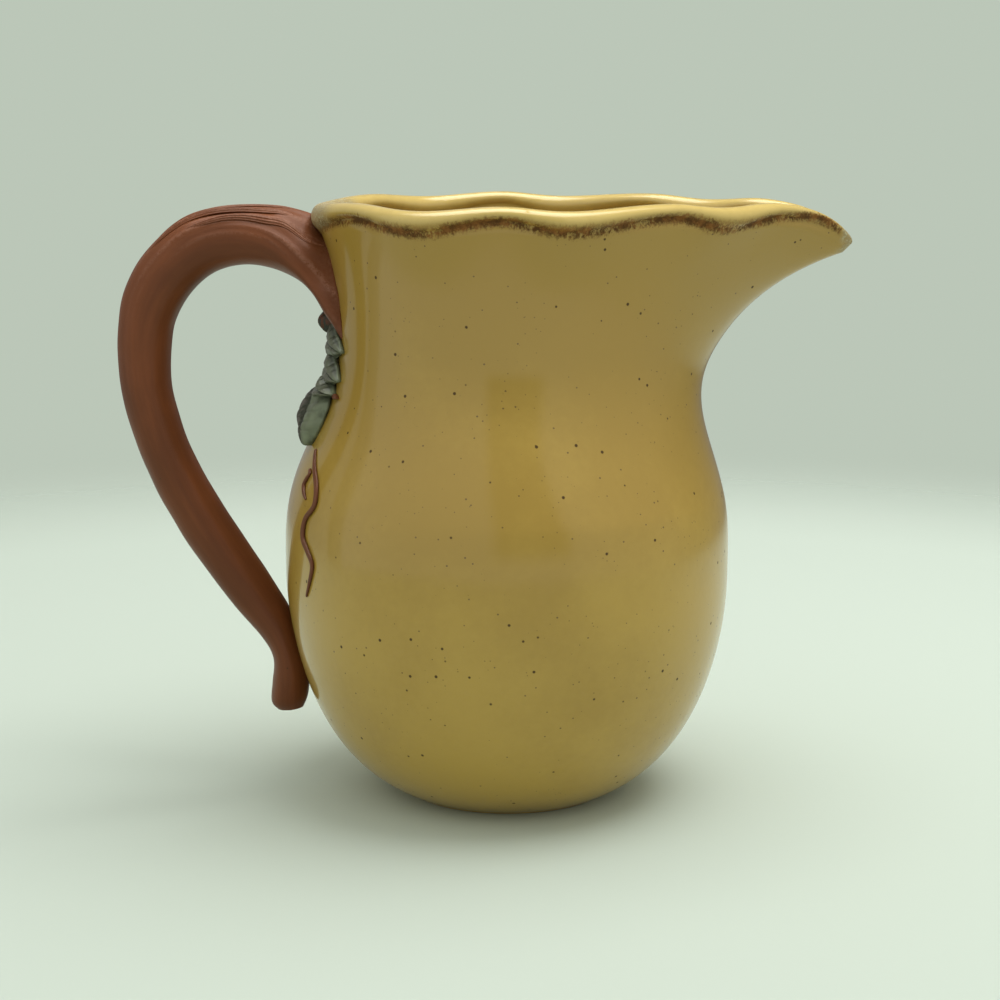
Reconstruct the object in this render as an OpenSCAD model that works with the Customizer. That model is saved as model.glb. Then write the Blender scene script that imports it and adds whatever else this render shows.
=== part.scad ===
// Round-bellied earthenware pitcher with a fluted lip, a beaked spout and a vine handle.
// Millimetres. The origin is the middle of the foot on the table, +Z is up,
// the spout points along +X and the handle along -X.

/* [Foot] */
// Radius of the foot that the pitcher stands on
foot_r = 37; // [33:0.5:42]
// Width of the bare ring round the foot
foot_ring_w = 6; // [3:0.5:10]
// Depth of the recess inside the foot ring
foot_recess_d = 2.5; // [1:0.25:3.5]

/* [Belly and neck] */
// Largest radius of the belly
belly_r = 80; // [74:1:88]
// Height of the widest place of the belly
belly_z = 82; // [76:1:90]
// Smallest radius of the neck
neck_r = 61; // [56:0.5:64]
// Height of the narrowest place of the neck
neck_z = 166; // [160:1:172]
// Thickness of the fired wall
wall_t = 5; // [3.5:0.25:6]
// Thickness of the floor in its middle
floor_t = 7; // [5:0.5:10]
// How square the lower belly is, 2 is an ellipse
belly_squareness = 2.9; // [2.4:0.05:3.3]
// How fast the lower belly leaves the foot
belly_lift = 1.94; // [1.8:0.02:2.2]
// How long the shoulder stays full
shoulder_fullness = 1.24; // [1:0.02:1.4]

/* [Rim] */
// Radius of the wall where it meets the lip
rim_r = 65.5; // [63:0.5:68]
// Height of the crease under the lip
rim_z = 207.5; // [200:0.5:214]
// Height of the lip above the crease
lip_h = 6; // [4:0.2:7]
// How far the lip stands out over the wall
lip_overhang = 1.3; // [0.6:0.1:2]
// How far the crease moves up at a crest and down at a lobe
lip_wave = 2; // [0.5:0.1:2.4]
// How far the top of the lip moves up and down
lip_top_wave = 0.8; // [0:0.1:1.2]
// How far the lobes stand out and the crests draw in
flute_depth = 1.2; // [0:0.1:1.6]
// Height at which the flutes die out down the neck
flute_z = 184; // [176:1:190]
// Extra reach of the lobe over the handle
handle_lobe = 1.2; // [0:0.1:2]
// How far the crease comes down further over the handle
handle_lobe_drop = 2.3; // [0:0.1:3]

/* [Spout] */
// How far the spout is drawn out from the round rim
spout_len = 55; // [40:0.5:60]
// Height at which the spout begins to leave the wall
spout_root_z = 110; // [100:1:120]
// How far the tip of the spout hangs below the rim
tip_droop = 12; // [4:0.5:14]
// How much the sides of the spout are drawn together
spout_pinch = 0.6; // [0.45:0.01:0.66]
// How thick the tip is beyond the wall
tip_extra = 3; // [2:0.25:5]

/* [Handle] */
// Distance of the back of the handle from the axis
handle_reach = 139; // [132:0.5:144]
// Height of the top of the handle
handle_top_z = 211.5; // [209:0.5:213]
// Height of the lower end of the handle
handle_end_z = 27; // [25:0.5:31]
// Width of the handle in the middle of the grip
handle_w = 22; // [18:0.5:25]
// Width over the two tails of the root, where the handle joins the neck
root_w = 48; // [40:1:50]
// How far the tails of the root hang down
root_drop = 25; // [18:0.5:26]

/* [Vine] */
// Height of the raised strands along the top of the handle
strand_h = 1.6; // [1:0.1:2.2]
// Length of the largest leaf
leaf_len = 21; // [17:0.5:22]
// Thickness of a leaf at its edge
leaf_edge_t = 0.9; // [0.6:0.1:1.4]
// How far a leaf swells over the wall
leaf_lift = 3.6; // [2:0.2:4.4]
// Width of a tendril
tendril_w = 2.4; // [1.6:0.1:3]
// Height of a tendril over the wall
tendril_h = 1.1; // [0.8:0.1:1.6]
// Thickness of the slip layer that holds each applied piece
slip_t = 0.2; // [0.1:0.05:0.4]

/* [Hidden] */

// Colours as fired
glaze_mustard = [0.72, 0.58, 0.27];
glaze_brown = [0.42, 0.24, 0.15];
glaze_brown_light = [0.50, 0.31, 0.21];
glaze_leaf = [0.38, 0.42, 0.34];
glaze_vine = [0.40, 0.26, 0.13];

// One overrun for every cut
overrun = 1;
// Half step used to measure the slope of the wall
probe = 0.05;
// Turns of the lip wave against the angle from the spout: whole turns are lobes, half turns crests
lip_turn_shares = [
  [0, 90], [29, 180], [43, 360], [54, 540], [76, 720],
  [93, 900], [117, 1080], [145, 1260], [180, 1440]
];
// Where the bead of the lip leaves the outer wall and where it comes back to the inner wall
lip_out_angle = -62;
lip_in_angle = 236;
// How much of the spout's reach comes early, and the two powers of its climb
spout_early_share = 0.73;
spout_early = 2;
spout_late = 4;
// How narrow the spout is at its root, at the rim and at its drooping tip
spout_focus_root = 2;
spout_focus_rim = 5;
tip_focus = 60;
// How narrow the lower crease over the handle is
handle_lobe_focus = 12;
// How the neck flares to the rim
rim_flare = 2.5;
// Columns round the body, crowded towards the spout, and rings up its wall
columns = 80;
crowding_share = 0.35;
belly_rings = 10;
neck_rings = 13;
lip_rings = 6;
// How the rings are crowded towards the foot, and the last gap under the crease against the others
foot_crowding = 1.5;
last_gap_share = 0.5;
recess_sides = 96;

// Joins closed rings of equal length into one solid; each end closes on its own point
module skin(rings, first, last) {
  n = len(rings[0]);
  m = len(rings);
  points = concat([for (ring = rings) each ring], [first, last]);
  sides = [
    for (j = [0:m - 2]) for (i = [0:n - 1])
      let (k = (i + 1) % n)
      each [[j * n + i, (j + 1) * n + i, (j + 1) * n + k], [j * n + i, (j + 1) * n + k, j * n + k]]
  ];
  first_fan = [for (i = [0:n - 1]) [m * n, i, (i + 1) % n]];
  last_fan = [for (i = [0:n - 1]) [m * n + 1, (m - 1) * n + (i + 1) % n, (m - 1) * n + i]];
  polyhedron(points = points, faces = concat(sides, first_fan, last_fan), convexity = 10);
}

function middle(points) =
  [for (axis = [0:2]) [for (p = points) p[axis]] * [for (p = points) 1] / len(points)];
function mix(a, b, share) = a + (b - a) * share;
function clamp(value, low, high) = min(max(value, low), high);
function smooth(share) = let (s = clamp(share, 0, 1)) pow(s, 3) * (6 * s * s - 15 * s + 10);

// Body

// Outer radius of the round wall at a height
function belly_wall(z) =
  let (foot_share = pow(foot_r / belly_r, belly_squareness))
  belly_r * pow(1 - (1 - foot_share) * pow(1 - z / belly_z, belly_lift), 1 / belly_squareness);
function shoulder_wall(z) =
  mix(belly_r, neck_r, smooth(pow((z - belly_z) / (neck_z - belly_z), shoulder_fullness)));
function rim_wall(z) = neck_r + (rim_r - neck_r) * pow((z - neck_z) / (rim_z - neck_z), rim_flare);
function round_wall(z) = z < belly_z ? belly_wall(z) : z < neck_z ? shoulder_wall(z) : rim_wall(z);
function wall_slope(z) = (round_wall(z + probe) - round_wall(z - probe)) / (2 * probe);

// Angle from the spout, 0 to 180 on either side
function from_spout(angle) = let (a = abs(angle % 360)) a > 180 ? 360 - a : a;
// 1 at a lobe of the lip, -1 at a crest
function lobe(angle) = cos(lookup(from_spout(angle), lip_turn_shares));
// How far a height lies up the run of the flutes, which ends at the crease
flute_run = abs(rim_z - flute_z);
function fluted(z) = clamp(1 - (rim_z - z) / flute_run, 0, 1);
function flute(angle, z) =
  (flute_depth * lobe(angle) + handle_lobe * pow((1 - cos(angle)) / 2, tip_focus)) * pow(fluted(z), 2);
// Radius of the outer wall on the handle's side, where the spout has no part
function wall_r(angle, z) = round_wall(z) + flute(angle, z);

function climb(z) = clamp((z - spout_root_z) / (rim_z - spout_root_z), 0, 1);
function spout_push(v, reach) =
  reach * (spout_early_share * pow(v, spout_early) + (1 - spout_early_share) * pow(v, spout_late));
function spout_side(angle, v) = pow((1 + cos(angle)) / 2, mix(spout_focus_root, spout_focus_rim, v));
function spout_drop(angle, v) = tip_droop * pow(v, spout_late) * pow((1 + cos(angle)) / 2, tip_focus);
// A point of the wall: r is its round radius and reach the length of the spout there
function wall_point(angle, r, z, v, reach) =
  let (side = spout_side(angle, v))
  [
    r * cos(angle) + spout_push(v, reach) * side,
    r * sin(angle) * (1 - spout_pinch * v * side),
    z - spout_drop(angle, v)
  ];
function outer_point(angle, z) = wall_point(angle, wall_r(angle, z), z, climb(z), spout_len);
// The inner wall lies one wall thickness inside, square to the round wall
function inner_point(angle, z) =
  let (
    slope = wall_slope(z),
    square = wall_t / sqrt(1 + slope * slope)
  )
  wall_point(angle, wall_r(angle, z) - square, z + square * slope, climb(z), spout_len - tip_extra);

function crease_z(angle) =
  rim_z - lip_wave * lobe(angle) - handle_lobe_drop * pow((1 - cos(angle)) / 2, handle_lobe_focus);
function lip_top_z(angle) = rim_z + lip_h - lip_top_wave * lobe(angle);
// The lip is a bead round the top of the wall; turn runs from its outer crease over the top
function lip_point(angle, turn) =
  let (
    outer = outer_point(angle, rim_z),
    inner = wall_point(angle, wall_r(angle, rim_z) - wall_t, rim_z, 1, spout_len - tip_extra),
    out = (outer - inner) / norm(outer - inner),
    drop = [0, 0, spout_drop(angle, 1)],
    low = crease_z(angle),
    half_h = (lip_top_z(angle) - low) / 2,
    half_w = norm(outer - inner) / 2 + lip_overhang,
    centre = (outer + inner) / 2 - [0, 0, rim_z] + drop
  )
  centre + out * half_w * cos(turn) + [0, 0, low + half_h * (1 + sin(turn))] - drop;

column_angles = [
  for (i = [0:columns - 1])
    let (share = i / columns)
    360 * share - crowding_share * sin(360 * share) * 180 / PI
];
// Heights of the rings, the upper ones ending in the crease
function ring_z(j) =
  j <= belly_rings
    ? belly_z * pow(j / belly_rings, foot_crowding)
    : mix(belly_z, rim_z, (j - belly_rings) / (neck_rings + last_gap_share));
function ring_at(j, angle) = let (z = ring_z(j)) z + (crease_z(angle) - rim_z) * fluted(z);
wall_rings = belly_rings + neck_rings;
// The inner wall is plainer, with fewer rings
inner_step = 2;
floor_rings = 2;

module body() {
  outer = [for (j = [0:wall_rings]) [for (a = column_angles) outer_point(a, ring_at(j, a))]];
  lip = [
    for (k = [0:lip_rings])
      [for (a = column_angles) lip_point(a, lip_turn(k))]
  ];
  inner = [for (j = [wall_rings:-inner_step:0]) [for (a = column_angles) inner_point(a, ring_at(j, a))]];
  floor_edge = inner_point(180, ring_z(wall_rings % inner_step));
  hollow_floor = [
    for (k = [1:floor_rings])
      let (share = 1 - k / (floor_rings + 1))
      [for (a = column_angles) [
        -floor_edge[0] * share * cos(a),
        -floor_edge[0] * share * sin(a),
        mix(floor_t, floor_edge[2], share * share)
      ]]
  ];
  color(glaze_mustard)
    difference() {
      skin(concat(outer, lip, inner, hollow_floor), [0, 0, 0], [0, 0, floor_t]);
      translate([0, 0, -overrun])
        cylinder(h = foot_recess_d + overrun, r = foot_r - foot_ring_w, $fn = recess_sides);
    }
}

// Places on the wall round the handle

// The outline as built at an angle away from the spout: height and radius of each ring, up to the
// fullest ring of the lip's bead
function lip_turn(k) = mix(lip_out_angle, lip_in_angle, k / lip_rings);
function outline(angle) =
  concat(
    [for (j = [0:wall_rings]) let (z = ring_at(j, angle)) [z, wall_r(angle, z)]],
    [for (k = [0:1]) let (p = lip_point(angle, lip_turn(k))) [p[2], norm([p[0], p[1]])]]
  );
// Radius of whatever a piece lies against there, the wall or the bead
function seat_r(angle, z) = lookup(z, outline(angle));
// Draws a point to the seat: share 1 lays it on the slip layer, 0 only keeps it out of the wall
function on_seat(p, share) =
  let (
    angle = atan2(p[1], p[0]),
    reach = norm([p[0], p[1]]),
    seat = seat_r(angle, p[2]) + slip_t,
    r = reach < seat ? seat : mix(reach, seat, share)
  )
  [r * cos(angle), r * sin(angle), p[2]];
// A point over the wall: arc is the way round from under the handle towards the near side
function on_wall(arc, z, lift) =
  let (
    turn = arc / seat_r(180, z) * 180 / PI,
    r = seat_r(180 + turn, z) + slip_t + lift
  )
  [-r * cos(turn), -r * sin(turn), z];

// Smooth curve through the rows of a table; t counts rows
function through(table, t) =
  let (
    last = len(table) - 1,
    k = min(floor(t), last - 1),
    f = t - k,
    a = table[max(k - 1, 0)],
    b = table[k],
    c = table[k + 1],
    d = table[min(k + 2, last)]
  )
  0.5 * (2 * b + (c - a) * f + (2 * a - 5 * b + 4 * c - d) * f * f + (3 * b - a - 3 * c + d) * f * f * f);

// Handle

// The handle's outer and inner edge from the root to the lower end: reach and height of the outer
// edge, the same of the inner edge, width, and how far it is still spread out as a root
grip_shares = [
  [0.075, 0.984, 0.000, 0.812, 1.00, 1.00],
  [0.155, 0.990, 0.071, 0.835, 1.05, 0.50],
  [0.258, 0.998, 0.156, 0.858, 1.06, 0.20],
  [0.367, 1.000, 0.278, 0.881, 1.04, 0.05],
  [0.535, 0.994, 0.414, 0.889, 1.00, 0.00],
  [0.681, 0.976, 0.547, 0.875, 1.00, 0.00],
  [0.806, 0.938, 0.658, 0.835, 1.00, 0.00],
  [0.914, 0.883, 0.730, 0.784, 1.00, 0.00],
  [0.979, 0.814, 0.757, 0.732, 1.00, 0.00],
  [1.000, 0.728, 0.762, 0.664, 1.00, 0.00],
  [0.988, 0.645, 0.734, 0.602, 0.98, 0.00],
  [0.940, 0.557, 0.680, 0.531, 0.96, 0.00],
  [0.845, 0.451, 0.586, 0.453, 0.93, 0.00],
  [0.696, 0.337, 0.461, 0.365, 0.90, 0.00],
  [0.507, 0.225, 0.335, 0.281, 0.88, 0.00],
  [0.370, 0.154, 0.245, 0.217, 0.88, 0.00],
  [0.320, 0.111, 0.190, 0.160, 0.90, 0.00],
  [0.323, 0.062, 0.150, 0.103, 0.88, 0.00],
  [0.330, 0.022, 0.155, 0.040, 0.72, 0.00],
  [0.302, 0.005, 0.180, 0.010, 0.42, 0.00]
];
tip_shares = [0.240, 0.000];
grip_steps = 2;
grip_sides = 20;
// How sharply the root is drawn in towards the top, like a tent
tent = 0.6;
// Rings of the root's hidden seat, from its middle to its edge
pad_shares = [0.25, 0.5, 0.75];

function reach_x(share) = -mix(neck_r, handle_reach, share);
function grip_z(share) = mix(handle_end_z, handle_top_z, share);
// A point of the handle's skin: t counts the rows above, turn runs round it from its outer edge
function grip_point(t, turn) =
  let (
    row = through(grip_shares, t),
    spread = max(row[5], 0),
    outer = [reach_x(row[0]), grip_z(row[1])],
    inner = [reach_x(row[2]), grip_z(row[3])],
    flat = (outer + inner) / 2 + (outer - inner) / 2 * cos(turn),
    half_w = mix(handle_w * row[4], root_w, spread) / 2,
    side = sin(turn) * pow(abs(sin(turn)), tent * spread)
  )
  on_seat([flat[0], half_w * side, flat[1] - root_drop * spread * pow(sin(turn), 2)], spread * spread);

module handle() {
  last = len(grip_shares) - 1;
  turns = [for (i = [0:grip_sides - 1]) 360 * i / grip_sides];
  root = [for (a = turns) grip_point(0, a)];
  root_middle = on_seat(middle(root), 1);
  pad = [for (share = pad_shares) [for (p = root) on_seat(mix(root_middle, p, share), 1)]];
  grip = [for (j = [0:last * grip_steps]) [for (a = turns) grip_point(j / grip_steps, a)]];
  tip = on_seat([reach_x(tip_shares[0]), 0, grip_z(tip_shares[1])], 0);
  color(glaze_brown) skin(concat(pad, grip), root_middle, tip);
}

// Section of a strand or tendril: place across and height, crown first and then the flat underside
ridge_section_shares = [[-1, 0.2], [-0.6, 0.8], [0, 1], [0.6, 0.8], [1, 0.2], [0.5, 0], [-0.5, 0]];
// The strands: turn round the handle at the root and at the end, half width in degrees, and where
// they start and end along the handle
strand_middle_shares = [0, 0, 11, 0.3, 6.0];
strand_upper_shares = [19, 27, 10, 0.25, 6.4];
strand_lower_shares = [37, 49, 10, 0.3, 5.2];
strand_rings = 18;
// A strand's blunt start, how early it is fullest, how round it swells and how thin it runs out
strand_blunt_share = 0.12;
strand_early_share = 1.6;
strand_round_share = 0.6;
strand_end_share = 0.6;
strand_least_w_share = 0.12;
strand_least_h_share = 0.1;

function strand_point(t, turn, lift) =
  let (
    p = grip_point(t, turn),
    centre = (grip_point(t, 0) + grip_point(t, 180)) / 2,
    out = (p - centre) / norm(p - centre)
  )
  on_seat(p + out * (slip_t + lift), 0);

module strand(row) {
  rings = [
    for (j = [0:strand_rings])
      let (
        share = j / strand_rings,
        t = mix(row[3], row[4], share),
        swell = sin(180 * mix(strand_blunt_share, 1, 1 - pow(share, strand_early_share))),
        fade = pow(swell, strand_round_share) * mix(1, strand_end_share, share),
        turn = mix(row[0], row[1], share),
        half = row[2] * max(fade, strand_least_w_share),
        height = strand_h * max(fade, strand_least_h_share)
      )
      [for (s = ridge_section_shares) strand_point(t, turn + half * s[0], height * s[1])]
  ];
  color(glaze_brown_light) skin(rings, middle(rings[0]), middle(rings[strand_rings]));
}

module strand_top() strand(strand_middle_shares);
module strand_far_upper() strand(strand_upper_shares);
module strand_far_lower() strand(strand_lower_shares);
module strand_near_upper() mirror([0, 1, 0]) strand_far_upper();
module strand_near_lower() mirror([0, 1, 0]) strand_far_lower();

// Leaves, buds and stems

// Height at which the handle's inner edge meets the wall, from where the vine hangs
vine_z = grip_z(grip_shares[0][3]);
// Each row is one piece: way round and drop of its root from there, heading from straight down,
// length and width, and swell
leaf_shares = [
  [0.22, 0.50, 77, 0.97, 0.47, 0.80],
  [0.13, 0.93, 74, 0.97, 0.42, 0.95],
  [0.20, 1.31, 80, 0.66, 0.22, 1.10],
  [0.62, 1.46, 12, 0.94, 0.95, 1.45]
];
bud_shares = [0.19, 0.13, 18, 0.30, 0.23, 0.9];
stem_shares = [0.98, 1.40, 80, 0.24, 0.11, 0.45];
leaf_rings = 12;
bud_rings = 6;
stem_rings = 5;
// Half width of a lobed leaf along its length: its points stand out and its notches are cut in
lobed_shares = [
  [0, 0.10], [0.08, 0.62], [0.17, 0.98], [0.26, 0.80], [0.38, 1.00], [0.50, 0.96],
  [0.60, 0.66], [0.70, 0.62], [0.80, 0.46], [0.90, 0.22], [1, 0.03]
];
// Where a plain leaf is widest, how blunt it is, and how round every leaf swells
leaf_early_share = 0.8;
leaf_blunt_share = 0.7;
leaf_round_share = 0.6;
leaf_section_shares = [
  [-1, 0], [-0.62, 0.8], [-0.28, 1], [0, 0.72], [0.28, 1], [0.62, 0.8], [1, 0],
  [0.6, -1], [0, -1], [-0.6, -1]
];

function leaf_outline(share, lobed) =
  lobed ? lookup(share, lobed_shares) : pow(sin(180 * pow(share, leaf_early_share)), leaf_blunt_share);

module sprig(row, rings, lobed) {
  arc = row[0] * leaf_len;
  top = vine_z - row[1] * leaf_len;
  heading = row[2];
  length = row[3] * leaf_len;
  half_w = row[4] * leaf_len / 2;
  lift = row[5] * leaf_lift;
  body_rings = [
    for (j = [1:rings])
      let (
        share = j / (rings + 1),
        along = length * share,
        wide = half_w * leaf_outline(share, lobed),
        dome = pow(sin(180 * share), leaf_round_share)
      )
      [
        for (s = leaf_section_shares)
          let (
            across = wide * s[0],
            up = s[1] < 0 ? 0 : leaf_edge_t + max(0, lift - leaf_edge_t) * dome * s[1]
          )
          on_wall(
            arc + along * sin(heading) - across * cos(heading),
            top - along * cos(heading) - across * sin(heading),
            up
          )
      ]
  ];
  first = on_wall(arc, top, leaf_edge_t / 2);
  last = on_wall(arc + length * sin(heading), top - length * cos(heading), leaf_edge_t / 2);
  skin(body_rings, first, last);
}

module leaf_near(number) color(glaze_leaf) sprig(leaf_shares[number - 1], leaf_rings, true);
module leaf_far(number) mirror([0, 1, 0]) leaf_near(number);
module bud_near() color(glaze_leaf) sprig(bud_shares, bud_rings, false);
module bud_far() mirror([0, 1, 0]) bud_near();
module stem_near() color(glaze_vine) sprig(stem_shares, stem_rings, false);
module stem_far() mirror([0, 1, 0]) stem_near();

// Tendrils

// Routes over the wall: way round and drop from where the vine hangs, as shares of the leaf's length
tendril_shares = [
  [1.24, 2.42], [1.52, 2.55], [1.88, 2.79], [2.04, 3.09], [1.84, 3.36],
  [1.84, 3.66], [2.07, 3.87], [2.22, 4.06], [2.12, 4.36], [1.98, 4.63]
];
curl_shares = [[1.36, 2.60], [1.46, 2.66], [1.42, 2.74], [1.40, 2.86], [1.52, 2.98], [1.66, 3.06]];
tendril_steps = 3;
// Where along its swelling a tendril begins and ends, its least thickness, and the curl's width
ridge_start_share = 0.08;
ridge_end_share = 0.97;
ridge_least_share = 0.3;
curl_w_share = 0.7;

module ridge(route, widest) {
  last = (len(route) - 1) * tendril_steps;
  rings = [
    for (j = [0:last])
      let (
        t = j / tendril_steps,
        here = through(route, t) * leaf_len,
        ahead = through(route, t + probe / leaf_len) * leaf_len,
        way = (ahead - here) / norm(ahead - here),
        swell = sin(180 * mix(ridge_start_share, ridge_end_share, j / last)),
        fade = max(sqrt(swell), ridge_least_share),
        half = tendril_w * widest * fade / 2
      )
      [
        for (s = ridge_section_shares)
          on_wall(
            here[0] - half * s[0] * way[1],
            vine_z - here[1] - half * s[0] * way[0],
            tendril_h * fade * s[1]
          )
      ]
  ];
  color(glaze_vine) skin(rings, middle(rings[0]), middle(rings[last]));
}

module tendril_near() ridge(tendril_shares, 1);
module tendril_far() mirror([0, 1, 0]) tendril_near();
module curl_near() ridge(curl_shares, curl_w_share);
module curl_far() mirror([0, 1, 0]) curl_near();

body();
handle();
strand_top();
strand_near_upper();
strand_far_upper();
strand_near_lower();
strand_far_lower();
leaf_near(1);  // leaf_near_1
leaf_near(2);  // leaf_near_2
leaf_near(3);  // leaf_near_3
leaf_near(4);  // leaf_near_4
leaf_far(1);  // leaf_far_1
leaf_far(2);  // leaf_far_2
leaf_far(3);  // leaf_far_3
leaf_far(4);  // leaf_far_4
bud_near();
bud_far();
stem_near();
stem_far();
tendril_near();
tendril_far();
curl_near();
curl_far();
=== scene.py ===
"""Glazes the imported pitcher: a fine mesh for every clay piece, on pale paper under soft light."""

import math

import bpy
import numpy as np
from bpy.props import FloatProperty, FloatVectorProperty, IntProperty, PointerProperty
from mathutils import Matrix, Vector


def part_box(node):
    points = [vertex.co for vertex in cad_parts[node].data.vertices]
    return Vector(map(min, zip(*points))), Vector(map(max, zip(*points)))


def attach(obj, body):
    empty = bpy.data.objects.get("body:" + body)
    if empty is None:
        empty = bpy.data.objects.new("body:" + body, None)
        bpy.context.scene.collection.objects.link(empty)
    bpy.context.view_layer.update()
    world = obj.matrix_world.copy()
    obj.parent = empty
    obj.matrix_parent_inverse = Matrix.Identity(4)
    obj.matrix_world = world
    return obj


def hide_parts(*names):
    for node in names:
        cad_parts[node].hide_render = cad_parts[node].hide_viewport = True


bl_info = {
    "name": "Vine-handled pitcher",
    "version": (1, 0, 0),
    "blender": (4, 5, 0),
    "location": "View3D > Sidebar > Pitcher",
    "description": "Throws, dresses and glazes a round-bellied pitcher with a vine handle",
    "category": "Object",
}

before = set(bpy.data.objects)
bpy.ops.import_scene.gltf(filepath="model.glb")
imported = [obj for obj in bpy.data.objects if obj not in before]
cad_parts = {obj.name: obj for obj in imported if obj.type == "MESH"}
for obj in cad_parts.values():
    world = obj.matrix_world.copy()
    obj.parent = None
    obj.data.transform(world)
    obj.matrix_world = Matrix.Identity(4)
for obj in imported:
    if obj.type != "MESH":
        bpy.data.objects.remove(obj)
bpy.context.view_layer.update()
SHELL_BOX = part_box("body")
BODY = "root"

# Turns of the lip wave against degrees from the spout: whole turns are lobes, half turns crests
LIP_ANGLES = (0, 29, 43, 54, 76, 93, 117, 145, 180)
LIP_TURNS = (90, 180, 360, 540, 720, 900, 1080, 1260, 1440)
# Where the bead of the lip leaves the outer wall and where it comes back to the inner wall
LIP_OUT = math.radians(-62)
LIP_IN = math.radians(236)
# At the spout's tip the bead starts later and stands out less, so the tip is full
TIP_FILL = math.radians(48)
TIP_OVERHANG_CUT = 0.6

# The spout: how much of its reach comes early, and how narrow it is at root, rim, tip and droop
SPOUT_EARLY_SHARE = 0.73
SPOUT_FOCUS_ROOT = 2
SPOUT_FOCUS_RIM = 5
TIP_FOCUS = 60
DROOP_FOCUS = 38
# How narrow the lower crease over the handle is, and how the neck flares to the rim
HANDLE_LOBE_FOCUS = 12
RIM_FLARE = 2.5

# How columns crowd towards the spout and rings towards the foot, and rings over lip and floor
COLUMN_CROWDING = 0.35
RING_CROWDING = 1.15
LIP_RINGS = 30
FLOOR_RINGS = 14
# Levels at which the wall and the bead are read to seat a piece
WALL_LEVELS = 14
BEAD_LEVELS = 6

# The stippled band, in radians from the spout: where it starts and where it stops lying higher
BAND_START, BAND_FADE = 0.17, 0.06
BAND_LIFT, LIFT_END, LIFT_FADE = 0.0024, 0.60, 0.30
# The pale glaze: how far it goes round from the handle, and how far back from the spout's tip
LOBE_REACH, LOBE_FADE = 0.48, 0.22
TIP_REACH, TIP_FADE = 0.0050, 0.0014
# The lip's light colour, partly thin glaze and partly a painted highlight of the overhead light:
# how high over the crease it starts, its fade, and how deep it goes inside
CREAM_START, CREAM_FADE, CREAM_DEPTH = 0.0012, 0.003, 0.045

# The grip's outer and inner edge from the root down: reach and height of the outer edge, the same
# of the inner edge, width, and how far it is still spread out as a root
GRIP = np.array([
    (0.075, 0.984, 0.000, 0.812, 1.00, 1.00),
    (0.155, 0.990, 0.071, 0.835, 1.05, 0.50),
    (0.258, 0.998, 0.156, 0.858, 1.06, 0.20),
    (0.367, 1.000, 0.278, 0.881, 1.04, 0.05),
    (0.535, 0.994, 0.414, 0.889, 1.00, 0.00),
    (0.681, 0.976, 0.547, 0.875, 1.00, 0.00),
    (0.806, 0.938, 0.658, 0.835, 1.00, 0.00),
    (0.914, 0.883, 0.730, 0.784, 1.00, 0.00),
    (0.979, 0.814, 0.757, 0.732, 1.00, 0.00),
    (1.000, 0.728, 0.762, 0.664, 1.00, 0.00),
    (0.988, 0.645, 0.734, 0.602, 0.98, 0.00),
    (0.940, 0.557, 0.680, 0.531, 0.96, 0.00),
    (0.845, 0.451, 0.586, 0.453, 0.93, 0.00),
    (0.696, 0.337, 0.461, 0.365, 0.90, 0.00),
    (0.507, 0.225, 0.335, 0.281, 0.88, 0.00),
    (0.370, 0.154, 0.245, 0.217, 0.88, 0.00),
    (0.320, 0.111, 0.190, 0.160, 0.90, 0.00),
    (0.323, 0.062, 0.150, 0.103, 0.88, 0.00),
    (0.330, 0.022, 0.155, 0.040, 0.72, 0.00),
    (0.302, 0.005, 0.180, 0.010, 0.42, 0.00),
])
GRIP_TIP = (0.240, 0.000)
# How sharply the root is drawn in, how far its edge strays and how near the middle that ends
TENT = 0.6
ROOT_ROUGH = 0.0009
ROOT_CALM = 0.006
# Mesh of the handle, and the grooves of its bark: how many go round, drift and phase
GRIP_STEPS = 12
GRIP_SIDES = 96
BARK_WAVES = ((11, 0.9, 0.3), (17, -0.6, 1.9), (26, 0.4, 4.1))

# Strands, far side first: turn round the handle at root and end, half width in degrees, and
# where they start and end along it
STRANDS = {
    ("strand_top",): (0, 0, 11, 0.3, 6.0),
    ("strand_far_upper", "strand_near_upper"): (19, 27, 10, 0.25, 6.4),
    ("strand_far_lower", "strand_near_lower"): (37, 49, 10, 0.3, 5.2),
}
# Leaves, bud and stem: way round and drop from where the vine hangs, length and width, as shares
# of the largest leaf, then heading from straight down and swell
LEAVES = {
    "leaf_near_1": (0.20, 0.48, 0.97, 0.66, 77, 1.10),
    "leaf_near_2": (0.15, 0.91, 0.99, 0.66, 74, 1.25),
    "leaf_near_3": (0.24, 1.27, 0.80, 0.46, 80, 1.90),
    "leaf_near_4": (0.34, 1.40, 1.02, 0.92, 30, 2.30),
}
FOLDED_LEAF = "leaf_near_4"
BUDS = {"bud_near": (0.16, 0.05, 0.44, 0.34, 18, 1.7)}
STEMS = {"stem_near": (0.96, 1.41, 0.28, 0.085, 84, 0.38)}
# Half width of a lobed leaf along its length, and where its side veins leave the midrib
LOBED = np.array([
    (0, 0.10), (0.08, 0.62), (0.17, 0.98), (0.26, 0.80), (0.38, 1.00), (0.50, 0.96),
    (0.60, 0.66), (0.70, 0.62), (0.80, 0.46), (0.90, 0.22), (1, 0.03),
])
SIDE_VEINS = (0.05, 0.25, 0.40, 0.56, 0.70)
# How far the side veins slant and bow towards the leaf's tip, and their width
VEIN_SLANT, VEIN_BOW, VEIN_W = 0.17, 0.05, 0.016
LEAF_SECTION = np.array([
    (-1, 0), (-0.62, 0.8), (-0.28, 1), (0, 0.72), (0.28, 1), (0.62, 0.8), (1, 0),
])
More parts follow.
